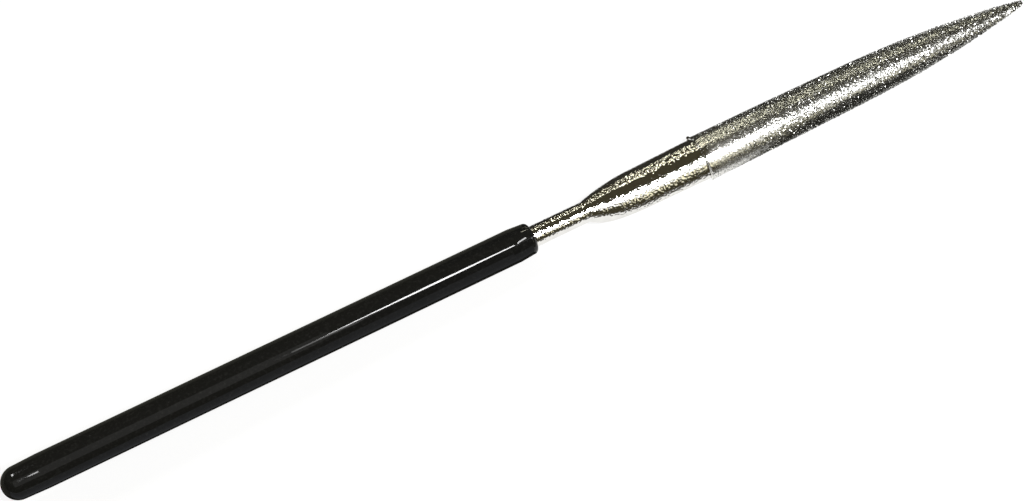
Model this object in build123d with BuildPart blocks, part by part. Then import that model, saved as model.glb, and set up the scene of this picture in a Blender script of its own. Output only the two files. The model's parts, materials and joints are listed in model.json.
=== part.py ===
import os
from math import atan2, cos, pi, radians, sin, sqrt

from build123d import *

# Lengths along the file, butt to point
grip_length = 68.6
neck_length = 7.3
flare_length = 8.4
heel_length = 7.7
straight_length = 22.0
ogive_length = 20.0
nose_length = 6.0

# Tang and neck
rod_diameter = 2.7

# Grip sleeve
sleeve_wall = 0.8
butt_wall = 1.4
butt_draw = 0.1
butt_taper_length = 3.0
mouth_draw = 0.15
mouth_taper_length = 2.5
mouth_round = 0.62

# Blade: widths across its flat without the abrasive, its depth and how it sits on the tang
shoulder_width = 5.72
heel_width = 5.98
ogive_start_width = 5.36
nose_start_width = 1.9
steel_end_width = 1.2
blade_depth = 2.15
flat_drop = 0.55
blade_rise = 1.1

# Abrasive layer and the raised line where its plating starts
coat_thickness = 0.2
point_width = 0.7
rim_height = 0.06
rim_width = 0.18

# Sections that carry the flare from the round neck to the half-round blade
flare_steps = 6
flare_fullness = 0.85
first_flat_depth = 0.04

rod_radius = rod_diameter / 2
grip_radius = rod_radius + sleeve_wall
butt_radius = grip_radius - butt_draw
mouth_radius = grip_radius - mouth_draw

# The origin is on the grip's axis, halfway along its straight wall; stations are counted from there
straight_wall_start = butt_radius + butt_taper_length
straight_wall_end = grip_length - mouth_taper_length
butt_x = -(straight_wall_start + straight_wall_end) / 2
tang_end_x = butt_x + butt_wall
mouth_x = butt_x + grip_length
flare_x = mouth_x + neck_length
shoulder_x = flare_x + flare_length

# The back of the blade is part of a circle whose centre is this far behind the flat
heel_half = heel_width / 2
centre_depth = (heel_half**2 - blade_depth**2) / (2 * blade_depth)


def back_radius(width):
    """Radius of the round back where the flat has this width."""
    return sqrt((width / 2) ** 2 + centre_depth**2)


# The abrasive lies on both faces, so the coated back's circle is larger and its flat is nearer the centre
coated_centre_depth = centre_depth - coat_thickness
rim_radius = back_radius(heel_width) + coat_thickness + rim_height
point_radius = sqrt((point_width / 2) ** 2 + coated_centre_depth**2)
blade_length = heel_length + straight_length + ogive_length + nose_length

# Laid on a table, flat side down, the file rests on the end of the grip's straight wall and on its point
point_height = blade_length * sin(radians(blade_rise)) - flat_drop - coat_thickness
point_reach = shoulder_x + blade_length * cos(radians(blade_rise)) - (butt_x + straight_wall_end)
lie_angle = atan2(grip_radius + point_height, point_reach)

# Directions of the lying file: along the grip to the point, out of the round back, and across the flat
along = Vector(cos(lie_angle), 0, -sin(lie_angle))
out_of_back = Vector(sin(lie_angle), 0, cos(lie_angle))
across = Vector(0, 1, 0)


def on_file(station, height):
    """A point on the file's middle plane, at this station and height from the grip's axis."""
    return along * station + out_of_back * height


# The blade leans up a little towards its point, about the shoulder
blade_line = along * cos(radians(blade_rise)) + out_of_back * sin(radians(blade_rise))
blade_up = out_of_back * cos(radians(blade_rise)) - along * sin(radians(blade_rise))
blade_origin = on_file(shoulder_x, -flat_drop) - blade_up * centre_depth

# Planes of the side views, whose normals lie across the file
grip_side = Plane(origin=(0, 0, 0), x_dir=along, z_dir=across * -1)
grip_axis = Axis((0, 0, 0), along)
blade_side = Plane(origin=blade_origin, x_dir=blade_line, z_dir=across * -1)
blade_axis = Axis(blade_origin, blade_line)


def flat_plane(depth):
    """The plane of the blade's flat, this far from the centre line of its back."""
    return Plane(origin=blade_origin + blade_up * depth, x_dir=blade_line, z_dir=blade_up)


def point_profile(skin, end_radius):
    """Half the blade's side view from heel to blunt end, as radii about its back's centre line."""
    heel = (heel_length, back_radius(heel_width) + skin)
    ogive_start = (heel_length + straight_length, back_radius(ogive_start_width) + skin)
    nose_start = (blade_length - nose_length, back_radius(nose_start_width) + skin)
    narrowing = (back_radius(nose_start_width) + coat_thickness - point_radius) / nose_length
    end_x = nose_start[0] + (nose_start[1] - end_radius) / narrowing
    Line(heel, ogive_start)
    TangentArc(ogive_start, nose_start, tangent=(straight_length, ogive_start[1] - heel[1]))
    Polyline(nose_start, (end_x, end_radius), (end_x, 0), (heel_length, 0), heel)


def between(start, end, share):
    """The value this share of the way from start to end."""
    return start + (end - start) * share


# Steel blank: blade core, ground flat, then the flare and the round rod
with BuildPart() as steel_blank:
    with BuildSketch(blade_side):
        with BuildLine():
            point_profile(0, back_radius(steel_end_width))
        make_face()
    with BuildSketch(blade_side):
        with BuildLine():
            Polyline(
                (0, 0),
                (0, back_radius(shoulder_width)),
                (heel_length, back_radius(heel_width)),
                (heel_length, 0),
                close=True,
            )
        make_face()
    revolve(axis=blade_axis)
    split(bisect_by=flat_plane(centre_depth), keep=Keep.TOP)

    # Each flare section is a circle cut by the flat, and its sizes grow as a quarter of a sine wave
    shoulder_top = back_radius(shoulder_width) - centre_depth - flat_drop
    for step in range(flare_steps + 1):
        share = step / flare_steps
        growth = sin(share**flare_fullness * pi / 2)
        section_radius = between(rod_radius, back_radius(shoulder_width), growth)
        flat_height = between(first_flat_depth - rod_radius, -flat_drop, growth)
        section_depth = between(rod_radius, shoulder_top, growth) - flat_height
        half_chord = sqrt(section_depth * (2 * section_radius - section_depth))
        lean = radians(blade_rise) * growth
        section_normal = along * cos(lean) + out_of_back * sin(lean)
        section_origin = on_file(flare_x + flare_length * share, flat_height)
        with BuildSketch(Plane(origin=section_origin, x_dir=across, z_dir=section_normal)):
            with BuildLine():
                ThreePointArc((-half_chord, 0), (0, section_depth), (half_chord, 0))
                Line((half_chord, 0), (-half_chord, 0))
            make_face()
    loft()

    with BuildSketch(Plane(origin=on_file(tang_end_x, 0), x_dir=across, z_dir=along)):
        Circle(rod_radius)
    extrude(amount=flare_x - tang_end_x)

# Diamond coating: the same blade one layer larger, with the raised line at its start, less the steel in it
with BuildPart() as diamond_coating:
    with BuildSketch(blade_side):
        with BuildLine():
            point_profile(coat_thickness, point_radius)
        make_face()
    with BuildSketch(blade_side):
        with BuildLine():
            Polyline(
                (heel_length, 0),
                (heel_length, rim_radius),
                (heel_length + rim_width, rim_radius),
                (heel_length + rim_width, 0),
                close=True,
            )
        make_face()
    revolve(axis=blade_axis)
    split(bisect_by=flat_plane(coated_centre_depth), keep=Keep.TOP)
    add(steel_blank.part, mode=Mode.SUBTRACT)

# Grip sleeve: domed butt, straight wall and rounded mouth, with the tang filling its bore
with BuildPart() as grip_sleeve:
    with BuildSketch(grip_side):
        with BuildLine():
            dome_centre_x = butt_x + butt_radius
            ThreePointArc(
                (butt_x, 0),
                (dome_centre_x - butt_radius * cos(pi / 4), butt_radius * sin(pi / 4)),
                (dome_centre_x, butt_radius),
            )
            Polyline(
                (dome_centre_x, butt_radius),
                (butt_x + straight_wall_start, grip_radius),
                (butt_x + straight_wall_end, grip_radius),
                (mouth_x - mouth_round, mouth_radius),
            )
            TangentArc(
                (mouth_x - mouth_round, mouth_radius),
                (mouth_x, mouth_radius - mouth_round),
                tangent=(1, 0),
            )
            Polyline(
                (mouth_x, mouth_radius - mouth_round),
                (mouth_x, rod_radius),
                (tang_end_x, rod_radius),
                (tang_end_x, 0),
                (butt_x, 0),
            )
        make_face()
    revolve(axis=grip_axis)

steel_blank.part.label = "steel_blank"
diamond_coating.part.label = "diamond_coating"
grip_sleeve.part.label = "grip_sleeve"

os.makedirs("parts", exist_ok=True)
export_step(steel_blank.part, "parts/steel_blank.step")
export_step(diamond_coating.part, "parts/diamond_coating.step")
export_step(grip_sleeve.part, "parts/grip_sleeve.step")
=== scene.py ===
import json
from math import cos, radians, sin, sqrt, tan

import bpy
import numpy as np
from bpy.props import FloatProperty, FloatVectorProperty, IntProperty, PointerProperty
from bpy.types import Operator, Panel, PropertyGroup
from mathutils import Matrix, Vector


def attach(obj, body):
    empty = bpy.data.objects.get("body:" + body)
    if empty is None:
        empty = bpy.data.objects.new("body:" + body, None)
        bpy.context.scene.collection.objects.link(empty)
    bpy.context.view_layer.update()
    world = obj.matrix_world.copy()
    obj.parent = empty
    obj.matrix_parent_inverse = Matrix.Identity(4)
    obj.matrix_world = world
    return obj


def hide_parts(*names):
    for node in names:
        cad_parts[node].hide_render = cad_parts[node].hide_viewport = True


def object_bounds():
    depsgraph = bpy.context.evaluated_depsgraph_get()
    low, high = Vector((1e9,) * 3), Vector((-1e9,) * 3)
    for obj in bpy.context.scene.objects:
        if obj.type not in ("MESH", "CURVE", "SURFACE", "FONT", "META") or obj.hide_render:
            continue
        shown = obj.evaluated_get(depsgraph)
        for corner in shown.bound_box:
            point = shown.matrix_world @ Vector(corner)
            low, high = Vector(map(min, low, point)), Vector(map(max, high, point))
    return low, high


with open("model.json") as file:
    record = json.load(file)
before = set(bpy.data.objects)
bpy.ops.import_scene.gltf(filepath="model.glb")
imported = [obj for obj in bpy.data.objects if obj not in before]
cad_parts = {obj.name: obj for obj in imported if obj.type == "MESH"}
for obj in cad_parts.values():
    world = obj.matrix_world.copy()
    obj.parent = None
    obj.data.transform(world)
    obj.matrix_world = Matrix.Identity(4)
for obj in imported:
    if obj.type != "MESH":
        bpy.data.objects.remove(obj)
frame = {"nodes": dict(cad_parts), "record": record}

bl_info = {
    "name": "Half-round Diamond File",
    "version": (1, 0, 0),
    "blender": (4, 5, 0),
    "location": "View3D > Sidebar > File",
    "description": "Builds a plated half-round file with a dipped grip, and the stage it lies on",
    "category": "Object",
}

CAD_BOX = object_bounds()
MM = 0.001

# The file's own directions: along the grip to the point, across the flat, and out of the round back
GRIP_MOUNT = frame["record"]["mounts"][0]
ALONG = -np.array(GRIP_MOUNT["axis"]) / np.linalg.norm(GRIP_MOUNT["axis"])
ACROSS = np.array((0.0, 1.0, 0.0))
OUT_OF_BACK = np.cross(ALONG, ACROSS)
GRIP_RADIUS = GRIP_MOUNT["dims"]["r_mm"] * MM


def reach(node, direction):
    """How far a CAD node's corners reach along a direction: (least, most)."""
    mesh = frame["nodes"][node].data
    corners = np.empty(len(mesh.vertices) * 3, np.float32)
    mesh.vertices.foreach_get("co", corners)
    places = corners.reshape(-1, 3) @ direction
    return float(places.min()), float(places.max())


BUTT, MOUTH = reach("grip_sleeve", ALONG)
TANG_END = reach("steel_blank", ALONG)[0]


def a_length(name, description, millimetres):
    """A length for the sidebar, which shows it in the scene's own unit."""
    return FloatProperty(name=name, description=description, default=millimetres * MM, unit="LENGTH")


def an_angle(name, description, degrees):
    """An angle for the sidebar."""
    return FloatProperty(
        name=name, description=description, default=radians(degrees), subtype="ANGLE")


def a_colour(name, description, channels):
    """A colour for the sidebar."""
    return FloatVectorProperty(
        name=name, description=description, default=channels, size=3, subtype="COLOR")


class FILE_PG_sizes(PropertyGroup):
    rod_diameter: a_length("Rod diameter", "Round neck and tang", 2.7)
    neck_length: a_length("Neck length", "Bare round neck before the grip", 7.3)
    flare_length: a_length("Flare length", "From the round neck to the blade", 8.4)
    flare_fullness: FloatProperty(
        name="Flare fullness", description="Lower values widen the flare sooner", default=0.85)
    first_flat_depth: a_length("First flat depth", "How deep the flat starts into the neck", 0.04)
    heel_length: a_length("Heel length", "Bare part of the blade", 7.7)
    straight_length: a_length("Straight length", "Coated part with nearly straight sides", 22)
    ogive_length: a_length("Ogive length", "Curved part before the nose", 20)
    nose_length: a_length("Nose length", "Straight-sided end of the point", 6)
    shoulder_width: a_length("Shoulder width", "Flat at the flare's end", 5.72)
    heel_width: a_length("Heel width", "Flat where the coating starts", 5.98)
    ogive_start_width: a_length("Ogive start width", "Flat where the ogive starts", 5.36)
    nose_start_width: a_length("Nose start width", "Flat where the nose starts", 1.9)
    steel_end_width: a_length("Steel end width", "Flat at the steel's blunt end", 1.2)
    point_width: a_length("Point width", "Flat at the coated point", 0.7)
    blade_depth: a_length("Blade depth", "From the flat to the top of the back at the heel", 2.15)
    flat_drop: a_length("Flat drop", "How far the flat lies under the grip's axis", 0.55)
    blade_rise: an_angle("Blade rise", "Lean of the blade against the grip", 1.1)
    coat_thickness: a_length("Coat thickness", "Height of the diamond layer", 0.2)
    rim_height: a_length("Rim height", "Raised line where the plating starts", 0.06)
    rim_width: a_length("Rim width", "Width of the raised line", 0.18)
    butt_draw: a_length("Butt draw", "How much thinner the grip is at its butt", 0.1)
    butt_taper_length: a_length("Butt taper length", "Length of the thinner butt", 3)
    mouth_draw: a_length("Mouth draw", "How much thinner the grip is at its mouth", 0.15)
    mouth_taper_length: a_length("Mouth taper length", "Length of the thinner mouth", 2.5)
    mouth_round: a_length("Mouth round", "Radius of the grip's rounded mouth", 0.62)


class FILE_PG_finish(PropertyGroup):
    peel_height: a_length("Peel height", "Height of the plating's orange peel", 0.006)
    ripple_height: a_length("Ripple height", "Height of the finer bumps on the peel", 0.045)
    ripple_size: a_length("Ripple size", "Distance between the finer bumps", 0.24)
    peel_size: a_length("Peel size", "Distance between the bumps of the orange peel", 0.55)
    grain_pitch: a_length("Grain pitch", "Distance between diamond grains", 0.18)
    grain_size: a_length("Grain size", "Half the diagonal of a diamond grain", 0.115)
    grain_stand: a_length("Grain stand", "How far the grains stand out of the plating", 0.07)
    grain_tilt: an_angle("Grain tilt", "How far the grains' top facets usually lean", 9)
    grain_proud: a_length("Grain proud", "How far the grains stand over the back's plain surface", 0.05)
    glint_share: FloatProperty(
        name="Glint share", description="Share of the grains that lean far over", default=0.25)
    glint_tilt: an_angle("Glint tilt", "How far these grains lean at most", 40)
    smooth_start: a_length("Smooth start", "Length over which the grains rise out of the plating", 11)
    bead_height: a_length("Bead height", "Bead of plating on the raised line", 0.16)
    bead_size: a_length("Bead size", "Radius of that bead", 0.26)
    bead_turn: an_angle("Bead turn", "Where the bead sits round the back", 64)
    grain_seed: IntProperty(
        name="Grain seed", description="Another number scatters the grains anew", default=7)
    nickel_colour: a_colour("Nickel colour", "Bright nickel plate", (0.82, 0.81, 0.78))
    plating_colour: a_colour("Plating colour", "Plating between the grains", (0.56, 0.56, 0.54))
    grain_colour: a_colour("Grain colour", "Diamond grains in their plating", (0.52, 0.52, 0.5))
    plastic_colour: a_colour("Plastic colour", "Dipped grip", (0.0095, 0.0095, 0.0088))


class FILE_PG_stage(PropertyGroup):
    lens: FloatProperty(name="Lens", description="Focal length in millimetres", default=65.5)
    azimuth: an_angle("Azimuth", "Where the camera stands round the file", -23.344)
    elevation: an_angle("Elevation", "How high the camera stands", 65.319)
    roll: an_angle("Roll", "Turn of the camera about its view", -4.876)
    distance: a_length("Distance", "From the camera to its aim", 224.14)
    aim: FloatVectorProperty(
        name="Aim", description="Point in the middle of the picture", subtype="TRANSLATION", size=3,
        default=(29.79 * MM, -0.86 * MM, 0.0))
    floor_radius: a_length("Floor radius", "Radius of the round floor", 8000)
    wall_height: a_length("Wall height", "Height of the backdrop round the floor", 60)
    floor_colour: a_colour("Floor colour", "Floor and backdrop under the lamps", (0.22, 0.22, 0.22))
    floor_glow: FloatProperty(
        name="Floor glow", default=0.83,
        description="Light that the camera, gloss and glass see on the floor besides the lamps'")
    room_colour: a_colour("Room colour", "The dark room round the stage", (0.055, 0.049, 0.03))
    card_gap: a_length("Card gap", "From the file's middle plane to the cards beside it", 4)
    # Base colour of the gloss-only cards, part of their painted dark reflections
    card_colour: a_colour("Card colour", "Cards that only gloss sees", (0.03, 0.028, 0.02))
    lamp_distance: a_length("Lamp distance", "From the file's axis to the lamps", 600)


def sizes():
    """The file's sizes, as the sidebar holds them."""
    return bpy.context.scene.file_sizes


def finish():
    """The sizes and colours of its finish, as the sidebar holds them."""
    return bpy.context.scene.file_finish


def stage():
    """The stage's values, as the sidebar holds them."""
    return bpy.context.scene.file_stage


def shoulder():
    """Station of the shoulder, where the flare ends and the blade starts."""
    return MOUTH + sizes().neck_length + sizes().flare_length


def blade_directions():
    """The blade's own directions, which lean by its rise against the grip's."""
    rise = sizes().blade_rise
    line = ALONG * cos(rise) + OUT_OF_BACK * sin(rise)
    up = OUT_OF_BACK * cos(rise) - ALONG * sin(rise)
    return line, up


def centre_depth():
    """How far the centre line of the round back lies behind the flat: half the heel's width squared, less
    its depth squared, over twice its depth."""
    size = sizes()
    return ((size.heel_width / 2) ** 2 - size.blade_depth**2) / (2 * size.blade_depth)


def blade_origin():
    """Start of the back's centre line: at the shoulder, under the axis by the drop and the centre depth."""
    up = blade_directions()[1]
    return shoulder() * ALONG - sizes().flat_drop * OUT_OF_BACK - centre_depth() * up


def back_radius(width):
    """Radius of the round back where the flat has this width: the root of half the width squared plus
    the centre depth squared."""
    return np.sqrt((width / 2) ** 2 + centre_depth() ** 2)


def blade_length():
    """From the shoulder to the blunt point: heel, straight part, ogive and nose."""
    size = sizes()
    return size.heel_length + size.straight_length + size.ogive_length + size.nose_length


def point_radius():
    """Radius of the coated back at its blunt end: the root of half the flat's width squared plus the
    height of the coated flat over the centre line squared."""
    return sqrt((sizes().point_width / 2) ** 2 + (centre_depth() - sizes().coat_thickness) ** 2)


def nose_narrowing():
    """How fast the nose's radius shrinks: what it loses from its start to the point, over its length."""
    size = sizes()
    return (back_radius(size.nose_start_width) + size.coat_thickness - point_radius()) / size.nose_length


def steel_length():
    """From the shoulder to the steel's blunt end: as far into the nose as its radius takes to get there."""
    size = sizes()
    nose = back_radius(size.nose_start_width) - back_radius(size.steel_end_width)
    return blade_length() - size.nose_length + nose / nose_narrowing()


def blade_radius(x):
    """Radius of the bare back at x past the shoulder: straight to the heel's end, straight to the ogive,
    one arc that leaves the straight part smoothly and meets the nose, and a straight nose. The arc's radius
    is its chord squared over twice the chord's part across the straight's direction."""
    size = sizes()
    heel_end = size.heel_length
    ogive_start = heel_end + size.straight_length
    nose_start = ogive_start + size.ogive_length
    shoulder_radius, heel_radius = back_radius(size.shoulder_width), back_radius(size.heel_width)
    ogive_radius, nose_radius = back_radius(size.ogive_start_width), back_radius(size.nose_start_width)
    step = np.array((ogive_start - heel_end, ogive_radius - heel_radius))
    slope = step / np.hypot(*step)
    inward = np.array((slope[1], -slope[0]))
    chord = np.array((nose_start - ogive_start, nose_radius - ogive_radius))
    bend = chord @ chord / (2 * chord @ inward)
    centre = np.array((ogive_start, ogive_radius)) + bend * inward
    heel = shoulder_radius + (heel_radius - shoulder_radius) * x / heel_end
    straight = heel_radius + step[1] * (x - heel_end) / step[0]
    ogive = centre[1] + np.sqrt(np.maximum(bend**2 - (x - centre[0]) ** 2, 0))
    nose = nose_radius - nose_narrowing() * (x - nose_start)
    return np.select((x < heel_end, x < ogive_start, x < nose_start), (heel, straight, ogive), nose)


def smooth_noise(u, v, seed):
    """Value noise from -1 to 1: random values on the whole-number lattice, blended by 3t^2 - 2t^3."""
    cells = 256
    lattice = np.random.default_rng(seed).uniform(-1, 1, (cells, cells))
    iu, iv = np.floor(u).astype(int), np.floor(v).astype(int)
    tu, tv = u - iu, v - iv
    tu, tv = tu * tu * (3 - 2 * tu), tv * tv * (3 - 2 * tv)
    left, right, under, over = iu % cells, (iu + 1) % cells, iv % cells, (iv + 1) % cells
    low = lattice[left, under] * (1 - tu) + lattice[right, under] * tu
    high = lattice[left, over] * (1 - tu) + lattice[right, over] * tu
    return low * (1 - tv) + high * tv


def spread(*stops):
    """Stations between the stops, each stretch divided evenly: (start, end, steps) in turn."""
    runs = [np.linspace(start, end, steps, endpoint=False) for start, end, steps in stops]
    return np.concatenate(runs + [[stops[-1][1]]])


def tube_faces(rows, columns):
    """Quads of a closed tube of rows, and the fans of triangles that close it to its two end points, which
    are numbered after the rows' points."""
    row, column = np.meshgrid(np.arange(rows - 1), np.arange(columns), indexing="ij")
    after = (column + 1) % columns
    a, b = row * columns + column, row * columns + after
    quads = np.stack((a, b, b + columns, a + columns), axis=-1).reshape(-1, 4)
    ring = np.arange(columns)
    after = (ring + 1) % columns
    last = (rows - 1) * columns
    first_point = np.full(columns, rows * columns)
    start = np.stack((after, ring, first_point), axis=-1)
    end = np.stack((last + ring, last + after, first_point + 1), axis=-1)
    return quads, np.concatenate((start, end))


def closed_tube(name, points, first, last):
    """A closed piece from points[row, column], with an end point before the first row and one after the
    last. Its faces are turned round if they enclose a negative volume, so that they point outwards."""
    rows, columns = points.shape[:2]
    corners = np.concatenate((points.reshape(-1, 3), first[None], last[None]))
    quads, fans = tube_faces(rows, columns)
    halves = np.concatenate((quads[:, :3], quads[:, (0, 2, 3)], fans))
    a, b, c = (corners[halves[:, i]] for i in range(3))
    if np.einsum("ij,ij->i", a, np.cross(b, c)).sum() < 0:
        quads, fans = quads[:, ::-1], fans[:, ::-1]
    return new_piece(name, corners, quads, fans, smooth=True)


def new_piece(name, corners, quads, triangles, smooth):
    """A mesh object from arrays of corners, quads and triangles."""
    mesh = bpy.data.meshes.new(name)
    mesh.vertices.add(len(corners))
    mesh.vertices.foreach_set("co", corners.astype(np.float32).ravel())
    mesh.loops.add(quads.size + triangles.size)
    around = np.concatenate((quads.ravel(), triangles.ravel()))
    mesh.loops.foreach_set("vertex_index", around.astype(np.int32))
    mesh.polygons.add(len(quads) + len(triangles))
    starts = np.concatenate((np.arange(len(quads)) * 4, quads.size + np.arange(len(triangles)) * 3))
    mesh.polygons.foreach_set("loop_start", starts.astype(np.int32))
    mesh.polygons.foreach_set("use_smooth", np.full(len(starts), smooth))
    mesh.update(calc_edges=True)
    mesh.validate()
    piece = bpy.data.objects.new(name, mesh)
    bpy.context.scene.collection.objects.link(piece)
    return piece


def half_round_loops(centre, up, radius, level, roundness, arc_steps, flat_steps):
    """Closed half-round sections, one per row. Each is the part of a circle above a flat at this level over
    its centre: an arc over the back, then the chord back. Where roundness is 1 the chord bulges out to the
    circle."""
    half_angle = np.arccos(np.clip(level / radius, -1, 1))
    share = np.linspace(-1, 1, arc_steps)
    angle = half_angle[:, None] * share[None, :]
    arc_side, arc_height = radius[:, None] * np.sin(angle), radius[:, None] * np.cos(angle)
    share = np.linspace(1, -1, flat_steps + 2)[1:-1]
    flat_side = (radius * np.sin(half_angle))[:, None] * share[None, :]
    bulge = -np.sqrt(np.maximum(radius[:, None] ** 2 - flat_side**2, 0))
    flat_height = level[:, None] + (bulge - level[:, None]) * roundness[:, None]
    side = np.concatenate((arc_side, flat_side), axis=1)
    height = np.concatenate((arc_height, flat_height), axis=1)
    return centre[:, None] + side[..., None] * ACROSS + height[..., None] * up[:, None]


def raised(points, height):
    """Points moved by this height along the surface's normals, which are the cross products of the grid's
    steps round the loops and down the rows, all turned away from the loops' middles."""
    down_rows = np.gradient(points, axis=0)
    round_loop = np.roll(points, -1, axis=1) - np.roll(points, 1, axis=1)
    normal = np.cross(round_loop, down_rows)
    normal /= np.maximum(np.linalg.norm(normal, axis=2, keepdims=True), 1e-12)
    inside = points.mean(axis=1, keepdims=True)
    normal *= np.sign(np.einsum("ijk,ijk->ij", normal, points - inside).mean())
    return points + normal * height[..., None]


def neck_rows():
    """Sections of the rod from the tang's end to the flare, as whole circles that are close together where
    they show: centre, up direction, radius, the flat's level and roundness."""
    size = sizes()
    rod = size.rod_diameter / 2
    inside_mouth = MOUTH - 1.0 * MM
    station = spread((TANG_END, inside_mouth, 24), (inside_mouth, MOUTH + size.neck_length, 90))
    radius = np.full(len(station), rod)
    level = np.full(len(station), size.first_flat_depth - rod)
    return station[:, None] * ALONG, np.tile(OUT_OF_BACK, (len(station), 1)), radius, level, radius / rod


def flare_rows():
    """The same of the flare, past its start. Each size grows as sin(share^fullness * pi / 2), and the
    underside is flat from a twelfth of the flare's length on."""
    size = sizes()
    rod = size.rod_diameter / 2
    share = np.linspace(0, 1, 97)[1:]
    growth = np.sin(share**size.flare_fullness * np.pi / 2)
    shoulder_radius = back_radius(size.shoulder_width)
    shoulder_top = shoulder_radius - centre_depth() - size.flat_drop
    radius = rod + (shoulder_radius - rod) * growth
    flat_height = (size.first_flat_depth - rod) * (1 - growth) - size.flat_drop * growth
    depth = rod + (shoulder_top - rod) * growth - flat_height
    lean = size.blade_rise * growth
    up = OUT_OF_BACK * np.cos(lean)[:, None] - ALONG * np.sin(lean)[:, None]
    station = MOUTH + size.neck_length + size.flare_length * share
    flat_middle = station[:, None] * ALONG + flat_height[:, None] * OUT_OF_BACK
    centre = flat_middle + up * (depth - radius)[:, None]
    return centre, up, radius, radius - depth, np.maximum(1 - share * 12, 0)


def core_rows():
    """The same of the blade's steel, past the shoulder and up to its blunt end, with a flat underside."""
    size = sizes()
    line, up = blade_directions()
    rim_end = size.heel_length + size.rim_width
    x = spread((0.0, rim_end, 96), (rim_end, steel_length(), 90))[1:]
    level = np.full(len(x), centre_depth())
    return blade_origin() + x[:, None] * line, np.tile(up, (len(x), 1)), blade_radius(x), level, 0 * x


def coat_rows(x, skin):
    """The coated blade's sections at x, skin above the steel: centre, up and radius."""
    line, up = blade_directions()
    centre = blade_origin() + x[:, None] * line
    return centre, np.tile(up, (len(x), 1)), blade_radius(x) + skin


def inner_stations():
    """Stations of the plating's inside past the shoulder, from the steel's blunt end back to the heel's."""
    start = sizes().heel_length
    rim_end = start + sizes().rim_width
    return spread((start, rim_end, 4), (rim_end, steel_length(), 40))[::-1]


def outer_profile():
    """Stations of the plating's outside past the shoulder, and its height over the steel there. The raised
    line is a quarter of an ellipse up from the steel and another down to the bed between the grains."""
    size = sizes()
    half_rim, crest = size.rim_width / 2, size.coat_thickness + size.rim_height
    climb = np.linspace(0, np.pi / 2, 9)
    up_x, up_skin = size.heel_length + half_rim * (1 - np.cos(climb)), crest * np.sin(climb)
    just_short = 0.001 * MM
    bed_x = spread((size.heel_length + size.rim_width, blade_length() - just_short, 400))
    bed_skin = size.coat_thickness + grain_swell(bed_x) - grain_stand(bed_x)
    down_x = size.heel_length + half_rim * (1 + np.sin(climb[1:]))
    down_skin = bed_skin[0] + (crest - bed_skin[0]) * np.cos(climb[1:])
    skin = np.concatenate((up_skin, down_skin, bed_skin[1:]))
    return np.concatenate((up_x, down_x, bed_x[1:])), skin


def lump_heights(x, points):
    """Lumps between the grains, a share of what the grains stand out: smooth noise over the grains' pitch,
    from the raised line on, which fades out over four pitches before the point."""
    share, pitch = 0.3, finish().grain_pitch
    u = (x / pitch)[:, None] + np.zeros(points.shape[:2])
    v, w = points @ ACROSS / pitch, points @ OUT_OF_BACK / pitch
    lumps = smooth_noise(u + w, v - w, seed=21)
    rim_end = sizes().heel_length + sizes().rim_width
    bed = (x > rim_end) * np.minimum(1, (blade_length() - x) / (4 * pitch))
    return share * grain_stand(x)[:, None] * lumps * bed[:, None]


def bead_heights(x, points, centre, radius):
    """A bead of plating on the raised line, low on the back's far side: half an ellipsoid, so its height
    times the root of 1 less the squares of the distances from its middle."""
    look = finish()
    turn = np.arctan2(points @ ACROSS, (points - centre[:, None]) @ blade_directions()[1])
    beside = (x - sizes().heel_length - sizes().rim_width / 2)[:, None] / look.bead_size
    aside = (turn - look.bead_turn) * radius[:, None] / look.bead_size
    return look.bead_height * np.sqrt(np.maximum(1 - beside**2 - aside**2, 0))


def grain_rise(x):
    """From 0 where the coating starts to 1 where its grains stand at their full height: 3t^2 - 2t^3."""
    share = np.clip((x - sizes().heel_length) / finish().smooth_start, 0, 1)
    return share**2 * (3 - 2 * share)


def grain_stand(x):
    """How far the grains stand out of the plating at x past the shoulder: less where it starts."""
    first = 0.45
    return finish().grain_stand * (first + (1 - first) * grain_rise(x))


def grain_swell(x):
    """How far they stand over the back's plain surface: more as they rise, and less along the nose."""
    fade = np.clip((blade_length() - x) / sizes().nose_length, 0, 1)
    return finish().grain_proud * grain_rise(x) * fade


def thinned(x, side, draw):
    """Places kept at random: half of them where the coating starts, all where its grains stand high."""
    keep = draw.random(len(x)) < 0.5 + 0.5 * grain_rise(x)
    return x[keep], side[keep]


def node_tree(name):
    """A new material with its nodes cleared: (material, nodes, links, shader)."""
    material = bpy.data.materials.new(name)
    material.use_nodes = True
    nodes, links = material.node_tree.nodes, material.node_tree.links
    nodes.clear()
    shader = nodes.new("ShaderNodeBsdfPrincipled")
    output = nodes.new("ShaderNodeOutputMaterial")
    links.new(shader.outputs["BSDF"], output.inputs["Surface"])
    return material, nodes, links, shader


def noise(nodes, links, size, detail=2.0):
    """Noise over the object's own coordinates, with features about as large as size."""
    place = nodes.new("ShaderNodeTexCoord")
    texture = nodes.new("ShaderNodeTexNoise")
    texture.inputs["Scale"].default_value = 1 / size
    texture.inputs["Detail"].default_value = detail
    links.new(place.outputs["Object"], texture.inputs["Vector"])
    return texture.outputs["Fac"]


def along_file(nodes, links, start, end):
    """A value that grows from 0 at the station start to 1 at the station end."""
    place = nodes.new("ShaderNodeTexCoord")
    axis = nodes.new("ShaderNodeSeparateXYZ")
    links.new(place.outputs["Object"], axis.inputs["Vector"])
    node = nodes.new("ShaderNodeMapRange")
    node.inputs["From Min"].default_value = start
    node.inputs["From Max"].default_value = end
    links.new(axis.outputs["X"], node.inputs["Value"])
    return node.outputs["Result"]


def ramp(nodes, links, source, stops):
    """A colour ramp from a value: stops are (position, colour)."""
    blend = nodes.new("ShaderNodeValToRGB")
    elements = blend.color_ramp.elements
    while len(elements) < len(stops):
        elements.new(0.5)
    for element, (position, colour) in zip(elements, stops):
        element.position = position
        element.color = (*colour, 1)
    links.new(source, blend.inputs["Fac"])
    return blend.outputs["Color"]


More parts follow.
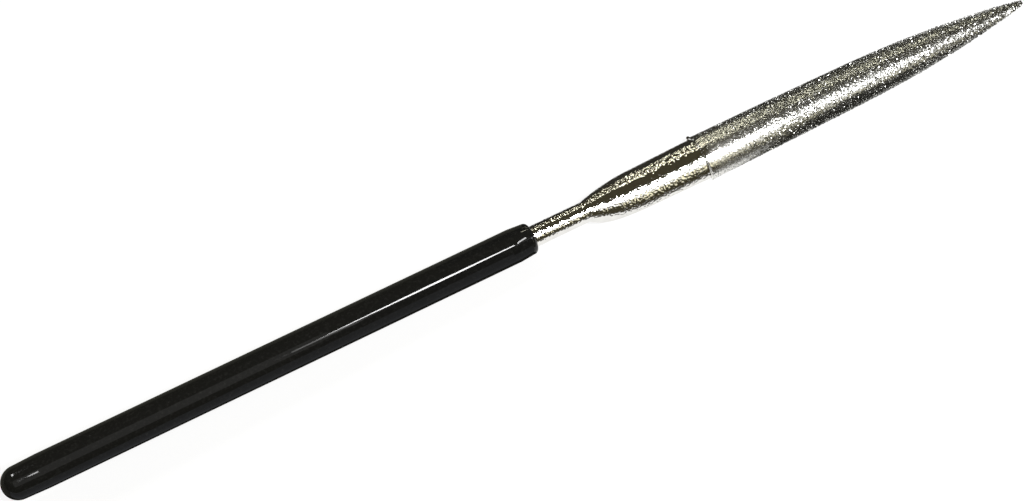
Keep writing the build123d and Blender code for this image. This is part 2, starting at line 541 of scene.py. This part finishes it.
def between(nodes, links, source, low, high):
    """The value moved from 0..1 to low..high."""
    node = nodes.new("ShaderNodeMapRange")
    node.inputs["To Min"].default_value = low
    node.inputs["To Max"].default_value = high
    links.new(source, node.inputs["Value"])
    return node.outputs["Result"]


def bump(nodes, links, source, depth):
    """Bumps of this depth from a value."""
    node = nodes.new("ShaderNodeBump")
    node.inputs["Distance"].default_value = depth
    links.new(source, node.inputs["Height"])
    return node.outputs["Normal"]


def combined(nodes, links, operation, first, second):
    """Two values put together by a maths node."""
    node = nodes.new("ShaderNodeMath")
    node.operation = operation
    links.new(first, node.inputs[0])
    links.new(second, node.inputs[1])
    return node.outputs[0]


def shade(colour, factor):
    """The colour made darker or lighter by a factor, and never more than 1 in a channel."""
    return tuple(min(channel * factor, 1.0) for channel in colour)


def cloudy(nodes, links, cloud, colour, dark, light, start=0.3):
    """The colour, darker where the cloud is thin and lighter where it is thick, by these factors."""
    return ramp(nodes, links, cloud, ((start, shade(colour, dark)), (0.7, shade(colour, light))))


def nickel_material():
    """Bright nickel: warm metal, slightly cloudy, with a fine ripple over the orange peel of the mesh."""
    material, nodes, links, shader = node_tree("bright_nickel")
    look = finish()
    cloud = noise(nodes, links, size=1.6 * MM)
    clouded = cloudy(nodes, links, cloud, look.nickel_colour, dark=0.94, light=1.04)
    links.new(clouded, shader.inputs["Base Color"])
    shader.inputs["Metallic"].default_value = 1.0
    ripple = noise(nodes, links, size=look.ripple_size, detail=0.0)
    links.new(between(nodes, links, ripple, low=0.03, high=0.08), shader.inputs["Roughness"])
    links.new(bump(nodes, links, ripple, depth=look.ripple_height), shader.inputs["Normal"])
    return material


def plating_material():
    """Plating between the grains: bright and smooth on the raised line, then duller and finely pitted."""
    material, nodes, links, shader = node_tree("diamond_plating")
    look = finish()
    start = shoulder() + sizes().heel_length
    cloud = noise(nodes, links, size=0.5 * MM, detail=4.0)
    bare = nodes.new("ShaderNodeMix")
    bare.data_type = "RGBA"
    bare.inputs["A"].default_value = (*look.nickel_colour, 1)
    links.new(along_file(nodes, links, start, start + look.smooth_start), bare.inputs["Factor"])
    clouded = cloudy(nodes, links, cloud, look.plating_colour, dark=0.7, light=1.1, start=0.35)
    links.new(clouded, bare.inputs["B"])
    links.new(bare.outputs["Result"], shader.inputs["Base Color"])
    shader.inputs["Metallic"].default_value = 1.0
    dullness = between(nodes, links, cloud, low=0.2, high=0.4)
    rim = along_file(nodes, links, start + sizes().rim_width, start + 8 * sizes().rim_width)
    share = between(nodes, links, rim, low=0.35, high=0.9)
    links.new(combined(nodes, links, "MULTIPLY", dullness, share), shader.inputs["Roughness"])
    pits = noise(nodes, links, size=0.2 * MM)
    links.new(bump(nodes, links, pits, depth=0.03 * MM), shader.inputs["Normal"])
    return material


def grain_material():
    """Diamond grains under a thin plating: clear facets, each a little lighter or darker."""
    material, nodes, links, shader = node_tree("diamond_grain")
    cloud = noise(nodes, links, size=0.3 * MM, detail=1.0)
    clouded = cloudy(nodes, links, cloud, finish().grain_colour, dark=0.7, light=1.1)
    links.new(clouded, shader.inputs["Base Color"])
    shader.inputs["Metallic"].default_value = 1.0
    links.new(between(nodes, links, cloud, low=0.15, high=0.25), shader.inputs["Roughness"])
    return material


def plastic_material():
    """Black dipped plastic: glossy, with soft waves and a few specks of dust."""
    material, nodes, links, shader = node_tree("dipped_plastic")
    colour = finish().plastic_colour
    dust = noise(nodes, links, size=0.35 * MM, detail=6.0)
    specks = ((0.5, colour), (0.72, shade(colour, 1.8)), (0.8, shade(colour, 6)))
    links.new(ramp(nodes, links, dust, specks), shader.inputs["Base Color"])
    shader.inputs["IOR"].default_value = 1.36
    links.new(between(nodes, links, dust, low=0.025, high=0.05), shader.inputs["Roughness"])
    waves = noise(nodes, links, size=1.8 * MM, detail=1.0)
    links.new(bump(nodes, links, waves, depth=0.006 * MM), shader.inputs["Normal"])
    return material


def floor_material():
    """White under the lamps, with a glow for the camera, gloss and glass on top, so that shadows stay."""
    material = bpy.data.materials.new("white_floor")
    material.use_nodes = True
    nodes, links = material.node_tree.nodes, material.node_tree.links
    nodes.clear()
    white = nodes.new("ShaderNodeBsdfDiffuse")
    white.inputs["Color"].default_value = (*stage().floor_colour, 1)
    glow = nodes.new("ShaderNodeEmission")
    path = nodes.new("ShaderNodeLightPath").outputs
    seen = combined(nodes, links, "MAXIMUM", path["Is Camera Ray"], path["Is Glossy Ray"])
    seen = combined(nodes, links, "MAXIMUM", seen, path["Is Transmission Ray"])
    links.new(between(nodes, links, seen, low=0.0, high=stage().floor_glow), glow.inputs["Strength"])
    both = nodes.new("ShaderNodeAddShader")
    links.new(white.outputs[0], both.inputs[0])
    links.new(glow.outputs[0], both.inputs[1])
    output = nodes.new("ShaderNodeOutputMaterial")
    links.new(both.outputs[0], output.inputs["Surface"])
    return material


def show_piece(piece, material, slot, *nodes):
    """Gives a piece its material, lets it ride on the body and stand for CAD nodes. The slot is not used."""
    piece.data.materials.append(material)
    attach(piece, "root")
    if nodes:
        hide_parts(*nodes)


class FILE_OT_blank(Operator):
    """Nickel-plated blank: tang, round neck, flare, bare heel and the core under the coating"""

    bl_idname = "diamond_file.blank"
    bl_label = "Nickel-plated Blank"

    def execute(self, context):
        look = finish()
        rows = [np.concatenate(runs) for runs in zip(neck_rows(), flare_rows(), core_rows())]
        centre = rows[0]
        points = half_round_loops(*rows, arc_steps=131, flat_steps=48)
        station = centre @ ALONG
        loop = np.arange(points.shape[1]) * 2 * np.pi / points.shape[1]
        # The peel's pattern is read round a circle wider than the rod, so that it closes on itself
        pattern_radius = sizes().rod_diameter * 1.6
        u = (station[:, None] + 0 * loop[None, :]) / look.peel_size
        v = pattern_radius * np.sin(loop)[None, :] / look.peel_size + 0 * u
        w = pattern_radius * np.cos(loop)[None, :] / look.peel_size + 0 * u
        skew, fineness, shift = 0.35, 1.7, 9
        coarse = smooth_noise(u + w * skew, v, seed=11)
        finer = smooth_noise(u * fineness + shift, w * fineness, seed=12)
        points = raised(points, look.peel_height * ((coarse + finer) / 2 - 1))
        piece = closed_tube("nickel_blank", points, centre[0], points[-1].mean(axis=0))
        show_piece(piece, nickel_material(), "nickel", "steel_blank")
        return {"FINISHED"}


class FILE_OT_plating(Operator):
    """Plating that holds the grains: a shell round the blade with a raised line at its start"""

    bl_idname = "diamond_file.plating"
    bl_label = "Diamond Plating"

    def execute(self, context):
        inner_x, (outer_x, outer_skin) = inner_stations(), outer_profile()
        x, skin = np.concatenate((inner_x, outer_x)), np.concatenate((0 * inner_x, outer_skin))
        centre, ups, radius = coat_rows(x, skin)
        level = centre_depth() - np.minimum(skin, sizes().coat_thickness)
        points = half_round_loops(centre, ups, radius, level, 0 * x, arc_steps=140, flat_steps=70)
        first = len(inner_x)
        inner, outer = points[:first], points[first:]
        lumps = lump_heights(outer_x, outer)
        bead = bead_heights(outer_x, outer, centre[first:], radius[first:])
        points = np.concatenate((inner, raised(outer, lumps + bead)))
        ends = points[0].mean(axis=0), points[-1].mean(axis=0)
        piece = closed_tube("diamond_plating", points, *ends)
        show_piece(piece, plating_material(), "diamond_grit", "diamond_coating")
        return {"FINISHED"}


def block():
    """A grain of half diagonal 1: a low block with a square top at height 0 and a larger square base.
    Returns its 8 corners and its 12 triangles, all turned outwards."""
    top, base, depth = 0.8, 1.04, 0.8
    angle = np.arange(4) * np.pi / 2
    ring = np.stack((np.cos(angle), np.sin(angle), 0 * angle), axis=1)
    corners = np.concatenate((ring * top, ring * base - (0, 0, depth)))
    sides = [(i, 4 + i, (i + 1) % 4) for i in range(4)]
    sides += [((i + 1) % 4, 4 + i, 4 + (i + 1) % 4) for i in range(4)]
    return corners, np.array([(0, 1, 2), (0, 2, 3), (4, 6, 5), (4, 7, 6)] + sides)


def leaning_turns(normals, tilt, draw):
    """Rotations that stand each grain up along its normal, leaned at random and turned at random about
    itself: the lean is a random vector added to the unit normal. A share of the grains leans far over."""
    look = finish()
    usual_share, far_share = (0.5, 1.5), (0.3, 1.0)
    lean = draw.normal(size=normals.shape) * (tilt * draw.uniform(*usual_share, len(tilt)))[:, None]
    far = draw.normal(size=normals.shape)
    far_lean = np.tan(look.glint_tilt) * draw.uniform(*far_share, len(tilt))
    far *= (far_lean / np.linalg.norm(far, axis=1))[:, None]
    glints = draw.random(len(tilt)) < look.glint_share
    up = normals + np.where(glints[:, None], far, lean)
    up /= np.linalg.norm(up, axis=1, keepdims=True)
    side = np.cross(up, draw.normal(size=up.shape))
    side /= np.linalg.norm(side, axis=1, keepdims=True)
    return np.stack((side, np.cross(up, side), up), axis=2)


def grain_piece(name, x, places, normals, draw):
    """Blocks at these places on the coating's true surface, each sized, turned, leaned and sunk at random.
    Corners that would pass the flat's plane or the point are moved back onto them."""
    corners, triangles = block()
    look, count = finish(), len(places)
    corner_range, size_range, deepest = (0.8, 1.15), (0.75, 1.1), 0.5
    # Each of a grain's four corners is pulled in or out, the same at its top and its base
    uneven = np.tile(draw.uniform(*corner_range, (count, 4, 1)), (1, 2, 1))
    wide = look.grain_size * draw.uniform(*size_range, (count, 1, 1)) * uneven * corners[None, :, :2]
    high = np.broadcast_to(look.grain_size * corners[None, :, 2:], (count, len(corners), 1))
    shape = np.concatenate((wide, high), axis=2)
    # The grains lean half as far where the coating starts
    tilt = look.grain_tilt * (0.5 + 0.5 * grain_rise(x))
    turned = np.einsum("nij,nkj->nki", leaning_turns(normals, tilt, draw), shape)
    top = np.einsum("nki,ni->nk", turned, normals).max(axis=1)
    sunk = draw.uniform(0, deepest, count) * grain_stand(x)
    placed = (turned + (places - normals * (top + sunk)[:, None])[:, None, :]).reshape(-1, 3)
    line, up = blade_directions()
    above_flat = (placed - blade_origin()) @ up - (centre_depth() - sizes().coat_thickness)
    placed -= np.minimum(above_flat, 0)[:, None] * up
    past_point = (placed - blade_origin()) @ line - blade_length()
    placed -= np.maximum(past_point, 0)[:, None] * line
    faces = (triangles[None] + (np.arange(count) * len(corners))[:, None, None]).reshape(-1, 3)
    return new_piece(name, placed, np.empty((0, 4), int), faces, smooth=False)


def scatter(width_at, start, end, pitch, draw):
    """Jittered places in rows: x along the blade and side from the middle, kept where side is inside the
    half width at x. Rows are a triangle's height apart, and every other row is shifted by half a pitch."""
    jitter = 0.35
    widest = width_at(np.array([start]))[0]
    x = np.arange(start, end, pitch * sqrt(3) / 2)
    side = np.arange(-widest, widest, pitch)
    x, side = np.meshgrid(x, side, indexing="ij")
    side = side + pitch / 2 * (np.arange(len(x)) % 2)[:, None]
    x = x + draw.uniform(-jitter, jitter, x.shape) * pitch
    side = side + draw.uniform(-jitter, jitter, x.shape) * pitch
    keep = (x > start) & (x < end) & (np.abs(side) < width_at(x))
    return x[keep], side[keep]


class FILE_OT_grains(Operator):
    """Diamond grains: facetted crystals scattered over the round back and the flat"""

    bl_idname = "diamond_file.grains"
    bl_label = "Diamond Grains"

    def execute(self, context):
        size, look = sizes(), finish()
        draw = np.random.default_rng(look.grain_seed)
        line, up = blade_directions()
        level = centre_depth() - size.coat_thickness
        start = size.heel_length + size.rim_width
        end = blade_length() - look.grain_size
        inset = look.grain_size * 0.6
        material = grain_material()

        def outer_radius(x):
            """The bare back's radius plus the coating and the grains' swell."""
            return blade_radius(x) + size.coat_thickness + grain_swell(x)

        def half_arc(x):
            """Half the arc: radius times the angle whose cosine is level over radius, inset a little."""
            return outer_radius(x) * np.arccos(np.clip(level / outer_radius(x), -1, 1)) - inset

        x, side = thinned(*scatter(half_arc, start, end, look.grain_pitch, draw), draw)
        angle = side / outer_radius(x)
        normals = np.sin(angle)[:, None] * ACROSS + np.cos(angle)[:, None] * up
        places = blade_origin() + x[:, None] * line + outer_radius(x)[:, None] * normals
        back = grain_piece("back_grains", x, places, normals, draw)
        show_piece(back, material, "diamond_grit")

        def half_flat(x):
            """Half the flat's width: the root of radius squared less level squared, inset a little."""
            return np.sqrt(np.maximum(outer_radius(x) ** 2 - level**2, 0)) - inset

        x, side = thinned(*scatter(half_flat, start, end, look.grain_pitch, draw), draw)
        places = blade_origin() + x[:, None] * line + side[:, None] * ACROSS + level * up
        flat = grain_piece("flat_grains", x, places, np.tile(-up, (len(x), 1)), draw)
        show_piece(flat, material, "diamond_grit")
        return {"FINISHED"}


class FILE_OT_grip(Operator):
    """Dipped grip: a closed sleeve with a domed butt, a straight wall and a rounded mouth"""

    bl_idname = "diamond_file.grip"
    bl_label = "Dipped Grip"

    def execute(self, context):
        size = sizes()
        rod_radius = size.rod_diameter / 2
        butt_radius, mouth_radius = GRIP_RADIUS - size.butt_draw, GRIP_RADIUS - size.mouth_draw
        wall_start = BUTT + butt_radius + size.butt_taper_length
        wall_end = MOUTH - size.mouth_taper_length
        lip_start, lip_middle = MOUTH - size.mouth_round, mouth_radius - size.mouth_round
        # Half the side view as (station, radius), round the dome, along the wall and back through the bore
        turn = np.linspace(0, np.pi / 2, 25)[1:]
        dome = np.stack((BUTT + butt_radius * (1 - np.cos(turn)), butt_radius * np.sin(turn)), axis=1)
        taper = np.linspace(dome[-1], (wall_start, GRIP_RADIUS), 9)[1:]
        wall = np.linspace((wall_start, GRIP_RADIUS), (wall_end, GRIP_RADIUS), 122)[1:]
        draw_in = np.linspace((wall_end, GRIP_RADIUS), (lip_start, mouth_radius), 9)[1:]
        lip = np.stack((lip_start + size.mouth_round * np.sin(turn),
                        lip_middle + size.mouth_round * np.cos(turn)), axis=1)
        bore = np.linspace((MOUTH, rod_radius), (TANG_END, rod_radius), 40)
        profile = np.concatenate((dome, taper, wall, draw_in, lip, bore))
        angle = np.linspace(0, 2 * np.pi, 96, endpoint=False)
        ring = np.cos(angle)[:, None] * OUT_OF_BACK + np.sin(angle)[:, None] * ACROSS
        points = profile[:, :1, None] * ALONG + profile[:, 1:, None] * ring[None]
        piece = closed_tube("dipped_grip", points, BUTT * ALONG, TANG_END * ALONG)
        show_piece(piece, plastic_material(), "black_plastic", "grip_sleeve")
        return {"FINISHED"}


def away_from_axis(angle):
    """Direction away from the axis, this many degrees from the back's up towards the camera's side."""
    return OUT_OF_BACK * cos(radians(angle)) - ACROSS * sin(radians(angle))


# Lamps over and beside the file. Angle, spread seen from the file and drift are in degrees, and start and end
# are stations in metres. From a lamp's start to its end the angle grows by its drift.
WHITE, WARM, AMBER = (1.0, 1.0, 1.0), (1.0, 0.98, 0.78), (1.0, 0.95, 0.7)
LAMPS = (
    # name, angle, spread, start, end, radiance, colour, drift
    ("soft_box", 31, 22, 0.06, 0.52, 1.35, WHITE, -8),
    ("soft_box_middle", 28, 4.5, 0.158, 0.235, 40.0, WHITE, 0),
    ("soft_box_end", 26.5, 4.5, 0.235, 0.52, 23.0, WHITE, -4),
    ("soft_box_tail", 24, 44, -0.4, 0.06, 0.45, WHITE, 0),
    ("grip_line", 21.5, 8, 0.072, 0.158, 50.0, WHITE, -9),
    ("grip_line_tail", 25.5, 8, 0.04, 0.072, 3.6, WHITE, 0),
    ("warm_edge", 54, 16, 0.178, 0.5, 1.25, AMBER, 0),
    ("far_tube", -49, 2.0, 0.143, 0.228, 5.5, WARM, -6),
    ("far_tube_middle", -45, 3.0, 0.228, 0.262, 20.0, WARM, 0),
    ("far_tube_end", -45, 2.8, 0.262, 0.5, 9.0, WARM, 0),
    ("far_thread", -76, 1.0, 0.143, 0.235, 6.0, WARM, 0),
    ("far_thread_end", -74, 1.6, 0.235, 0.5, 15.0, WARM, 0),
    ("butt_lamp", 15.9, 8, -0.121, -0.117, 25.0, WHITE, 0),
    ("far_lamp", -38.8, 14, -0.215, -0.125, 25.0, WHITE, 0),
)


def lamp(name, angle, spread, start, end, radiance, colour, drift):
    """A flat area lamp from a row of LAMPS. Its drift turns it in its own plane, and its power is its
    radiance times pi times its area."""
    out = stage().lamp_distance
    light = bpy.data.lights.new(name, "AREA")
    light.shape = "RECTANGLE"
    light.size = end - start
    light.size_y = 2 * out * tan(radians(spread / 2))
    light.color = colour
    light.energy = radiance * np.pi * light.size * light.size_y
    lit = bpy.data.objects.new(name, light)
    bpy.context.scene.collection.objects.link(lit)
    away = away_from_axis(angle)
    sideways = np.cross(away, ALONG)
    slant = np.arctan2(2 * out * tan(radians(drift / 2)), end - start)
    turn = Matrix([ALONG, sideways, away]).transposed().to_4x4() @ Matrix.Rotation(-slant, 4, "Z")
    lit.matrix_world = Matrix.Translation(Vector(ALONG * (start + end) / 2 + away * out)) @ turn


class FILE_OT_stage(Operator):
    """Stage: white floor with a low backdrop, cards that paint reflections for the gloss, lamps and the
    camera
    """

    bl_idname = "diamond_file.stage"
    bl_label = "Stage"

    def execute(self, context):
        self.make_floor()
        self.make_cards()
        for row in LAMPS:
            lamp(*row)
        self.make_room()
        self.make_camera()
        return {"FINISHED"}

    def make_floor(self):
        """A round floor that turns up into a low wall at its edge: a profile carried round the origin."""
        values, lowest = stage(), float(CAD_BOX[0][2])
        inner_radius, rings, columns = 0.05, 24, 96
        curve = np.linspace(0, np.pi / 2, 12)
        bend = values.wall_height * 0.6
        bend_start = values.floor_radius - bend
        flat = np.geomspace(inner_radius, bend_start, rings)
        radius = np.concatenate((flat, bend_start + bend * np.sin(curve), [values.floor_radius]))
        height = np.concatenate((0 * flat, bend * (1 - np.cos(curve)), [values.wall_height]))
        angle = np.linspace(0, 2 * np.pi, columns, endpoint=False)
        points = np.stack((radius[:, None] * np.cos(angle), radius[:, None] * np.sin(angle),
                           lowest + height[:, None] + 0 * angle), axis=-1)
        quads, fans = tube_faces(len(points), columns)
        corners = np.concatenate((points.reshape(-1, 3), [(0, 0, lowest)]))
        floor = new_piece("floor", corners, quads[:, ::-1], fans[:columns, ::-1], smooth=True)
        floor.data.materials.append(floor_material())

    def make_cards(self):
        """Cards that only gloss sees, with places in millimetres: painted reflections, which neither light
        nor shade the file. Those on edge beside the file and behind its butt, and those on the floor, are
        painted dark reflections that keep its limbs as dark as in the photograph; the blue-grey and
        olive-grey ones glow faintly and paint grey reflections. Over the grip, dark cards paint dark
        reflections where lamps would show, and the last card glows and paints its bright line on to its mouth
        as a painted highlight."""
        gap, lowest = stage().card_gap / MM, float(CAD_BOX[0][2]) / MM
        start, end = BUTT / MM - 5, float(CAD_BOX[1][0]) / MM + 5
        mouth = MOUTH / MM
        flare, past_mouth, far_off = mouth + sizes().neck_length / MM + 2, mouth + 2, 2000
        # Glows of the cards: black for painted dark reflections, faint blue-grey and olive-grey for painted
        # grey reflections, and bright for a painted highlight
        dark, painted_blue_grey_reflection, painted_olive_grey_reflection, bright = (0, 0, 0), (0.3, 0.31, 0.35), (0.14, 0.14, 0.11), (28, 28, 28)

        def on_edge(side, *tops):
            """From the floor up to the heights at these stations."""
            return [(x, side, lowest) for x, top in tops], [(x, side, top) for x, top in tops]

        def on_floor(*edges):
            """Between two edges of stations and distances in front of the middle plane."""
            return [[(x, -y, lowest + 0.02) for x, y in edge] for edge in edges]

        def overhead(height, *edges):
            """At a height from the axis, between two edges of angles and stations."""
            return [[ALONG * x + away_from_axis(angle) * height for angle, x in edge] for edge in edges]

        # Each card is a painted reflection that only gloss sees: dark ones paint dark reflections, grey ones
        # faint grey reflections, the bright one the painted highlight on the grip's mouth
        cards = (
            ("far_grip_card", painted_olive_grey_reflection, on_edge(gap, (start, 3.2), (mouth, 1.1))),
            ("far_blade_card", dark, on_edge(gap, (mouth, 1.1), (flare, 0), (end, 0))),
            ("butt_card", painted_olive_grey_reflection, [[(start, -gap, z), (start, gap, z)] for z in (lowest, 2.6)]),
            ("grip_card", painted_blue_grey_reflection, on_edge(-gap, (start, 2.3), (mouth, 1.3))),
            ("blade_card", dark, on_edge(-gap, (60, lowest), (68, -1.7), (76, 0.2), (end, -2))),
            ("under_card", dark, on_floor([(start, -gap), (mouth, -gap)], [(start, gap), (mouth, gap)])),
            ("near_sheet", dark, on_floor([(mouth, 21), (50, 10.5), (end, 9)],
                                          [(mouth, far_off), (50, far_off), (end, far_off)])),
            ("grip_painted_dark_reflection", dark, overhead(12, [(31, 12), (23, past_mouth)], [(66, 0), (66, past_mouth)])),
            ("mouth_painted_dark_reflection", dark, overhead(4, [(24, mouth - 3), (24, mouth + 0.2)],
                                          [(66, mouth - 3), (66, mouth + 0.2)])),
            ("far_grip_painted_dark_reflection", dark, overhead(12, [(-33, 22), (-33, past_mouth)],
                                             [(-88, 22), (-88, past_mouth)])),
            ("painted_mouth_highlight", bright, overhead(12, [(17, 33.6), (4.5, 35.6)], [(25, 33.6), (12.5, 35.6)])),
        )
        for name, glow, (low, high) in cards:
            self.make_card(name, np.array(low) * MM, np.array(high) * MM, glow)

    def make_card(self, name, low, high, glow):
        """A card between two lines of points, which glows in this colour. Only gloss sees it, so it is a
        painted
        reflection: a painted dark reflection where its glow is black, a painted highlight where it glows
        bright.
        """
        count = len(low)
        first = np.arange(count - 1)
        quads = np.stack((first, first + 1, first + 1 + count, first + count), axis=1)
        corners = np.concatenate((low, high))
        card = new_piece(name, corners, quads, np.empty((0, 3), int), smooth=False)
        material, nodes, links, shader = node_tree(name)
        shader.inputs["Base Color"].default_value = (*stage().card_colour, 1)
        shader.inputs["Roughness"].default_value = 0.9
        shader.inputs["Emission Color"].default_value = (*glow, 1)
        shader.inputs["Emission Strength"].default_value = 1.0
        card.data.materials.append(material)
        # Hidden from the camera, diffuse light and shadows: the card only paints reflections
        for ray in ("camera", "diffuse", "transmission", "volume_scatter", "shadow"):
            setattr(card, "visible_" + ray, False)

    def make_room(self):
        """The room's faint light, the same from all sides."""
        room = bpy.data.worlds.new("dark_room")
        room.use_nodes = True
        background = room.node_tree.nodes["Background"]
        background.inputs["Color"].default_value = (*stage().room_colour, 1)
        background.inputs["Strength"].default_value = 1.0
        bpy.context.scene.world = room

    def make_camera(self):
        """The camera at the photograph's angle: azimuth and elevation turn it round its aim, and roll about
        its view."""
        values = stage()
        camera = bpy.data.objects.new("camera", bpy.data.cameras.new("camera"))
        camera.data.lens = values.lens
        camera.data.clip_start = 0.01
        camera.data.clip_end = 50
        bpy.context.scene.collection.objects.link(camera)
        azimuth, elevation = values.azimuth, values.elevation
        level = cos(elevation)
        back = Vector((sin(azimuth) * level, -cos(azimuth) * level, sin(elevation)))
        right = Vector((cos(azimuth), sin(azimuth), 0))
        turn = Matrix((right, back.cross(right), back)).transposed()
        turn = (turn @ Matrix.Rotation(values.roll, 3, "Z")).to_4x4()
        camera.matrix_world = Matrix.Translation(Vector(values.aim) + back * values.distance) @ turn
        bpy.context.scene.camera = camera
        bpy.context.scene.view_settings.view_transform = "Standard"


class FILE_PT_half_round(Panel):
    """Sizes, finish and stage of the file, with a button for each of its pieces"""

    bl_label = "Half-round Diamond File"
    bl_idname = "FILE_PT_half_round"
    bl_space_type = "VIEW_3D"
    bl_region_type = "UI"
    bl_category = "File"

    def draw(self, context):
        for group in (context.scene.file_sizes, context.scene.file_finish, context.scene.file_stage):
            column = self.layout.column(align=True)
            for name in group.__annotations__:
                column.prop(group, name)
        for operator in OPERATORS:
            self.layout.operator(operator.bl_idname)


OPERATORS = (FILE_OT_blank, FILE_OT_plating, FILE_OT_grains, FILE_OT_grip, FILE_OT_stage)
CLASSES = (FILE_PG_sizes, FILE_PG_finish, FILE_PG_stage, *OPERATORS, FILE_PT_half_round)


def register():
    for cls in CLASSES:
        bpy.utils.register_class(cls)
    bpy.types.Scene.file_sizes = PointerProperty(type=FILE_PG_sizes)
    bpy.types.Scene.file_finish = PointerProperty(type=FILE_PG_finish)
    bpy.types.Scene.file_stage = PointerProperty(type=FILE_PG_stage)


def unregister():
    del bpy.types.Scene.file_stage
    del bpy.types.Scene.file_finish
    del bpy.types.Scene.file_sizes
    for cls in reversed(CLASSES):
        bpy.utils.unregister_class(cls)


def main():
    register()
    bpy.ops.diamond_file.blank()
    bpy.ops.diamond_file.plating()
    bpy.ops.diamond_file.grains()
    bpy.ops.diamond_file.grip()
    bpy.ops.diamond_file.stage()


if __name__ == "__main__":
    main()
